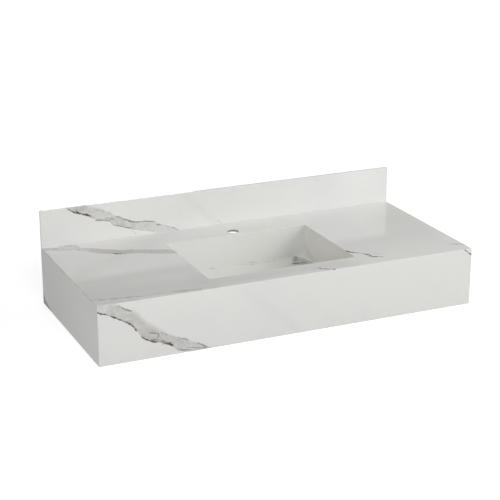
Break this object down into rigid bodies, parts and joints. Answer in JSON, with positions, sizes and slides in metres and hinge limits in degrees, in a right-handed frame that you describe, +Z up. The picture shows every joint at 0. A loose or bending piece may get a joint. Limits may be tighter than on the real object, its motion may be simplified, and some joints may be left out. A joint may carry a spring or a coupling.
{
  "type": "vanity sink top",
  "caption": "Mitred stone-slab vanity sink top with deep aprons, a let-in rectangular basin, a tap hole, a low upstand and a push-to-open waste.",
  "frame": {"origin": "middle of the footprint, level with the bottom edges of the aprons", "axes": "+X along the length, from the left end to the right end seen from the front; +Y to the wall; +Z up"},
  "size_m": [1, 0.45, 0.25],
  "materials": {
    "polished_stone": "polished, white with warm grey veins",
    "sawn_stone": "sawn, unpolished",
    "stainless": "brushed",
    "zinc_plate": "bright zinc plate",
    "chrome": "mirror chrome",
    "brass": "turned",
    "rubber": "matt",
    "nylon": "matt",
    "acetal": "satin",
    "spring_steel": "drawn wire"
  },
  "bodies": {
    "sink_top": {"deck": "polished_stone", "front_apron": "polished_stone", "left_apron": "polished_stone", "right_apron": "polished_stone", "backsplash": "polished_stone", "basin_wall_front": "polished_stone", "basin_wall_back": "polished_stone", "basin_wall_left": "polished_stone", "basin_wall_right": "polished_stone", "floor_panel_front": "polished_stone", "floor_panel_back": "polished_stone", "floor_panel_left": "polished_stone", "floor_panel_right": "polished_stone", "drain_plate": "polished_stone", "floor_batten_front": "sawn_stone", "floor_batten_back": "sawn_stone", "floor_batten_left": "sawn_stone", "floor_batten_right": "sawn_stone", "front_backing_strip": "sawn_stone", "left_backing_strip": "sawn_stone", "right_backing_strip": "sawn_stone", "left_rear_rail": "sawn_stone", "right_rear_rail": "sawn_stone", "left_deck_rib": "sawn_stone", "right_deck_rib": "sawn_stone", "left_bracket_block": "sawn_stone", "right_bracket_block": "sawn_stone", "left_wall_bracket": "stainless", "right_wall_bracket": "stainless", "left_bracket_screw_upper": "zinc_plate", "left_bracket_screw_lower": "zinc_plate", "right_bracket_screw_upper": "zinc_plate", "right_bracket_screw_lower": "zinc_plate", "waste_body": "chrome", "flange_gasket": "rubber", "cone_washer": "rubber", "slip_ring": "nylon", "back_nut": "brass", "push_cartridge": "acetal", "cartridge_spring": "spring_steel"},
    "plug": {"plug_cap": "chrome", "plug_seal": "rubber", "plug_stem": "brass"}
  },
  "joints": [
    {"name": "plug_slide", "type": "slide", "parent": "sink_top", "child": "plug", "axis": [0, 0, 1], "range_m": [0, 0.008], "deforming": ["cartridge_spring"]}
  ]
}
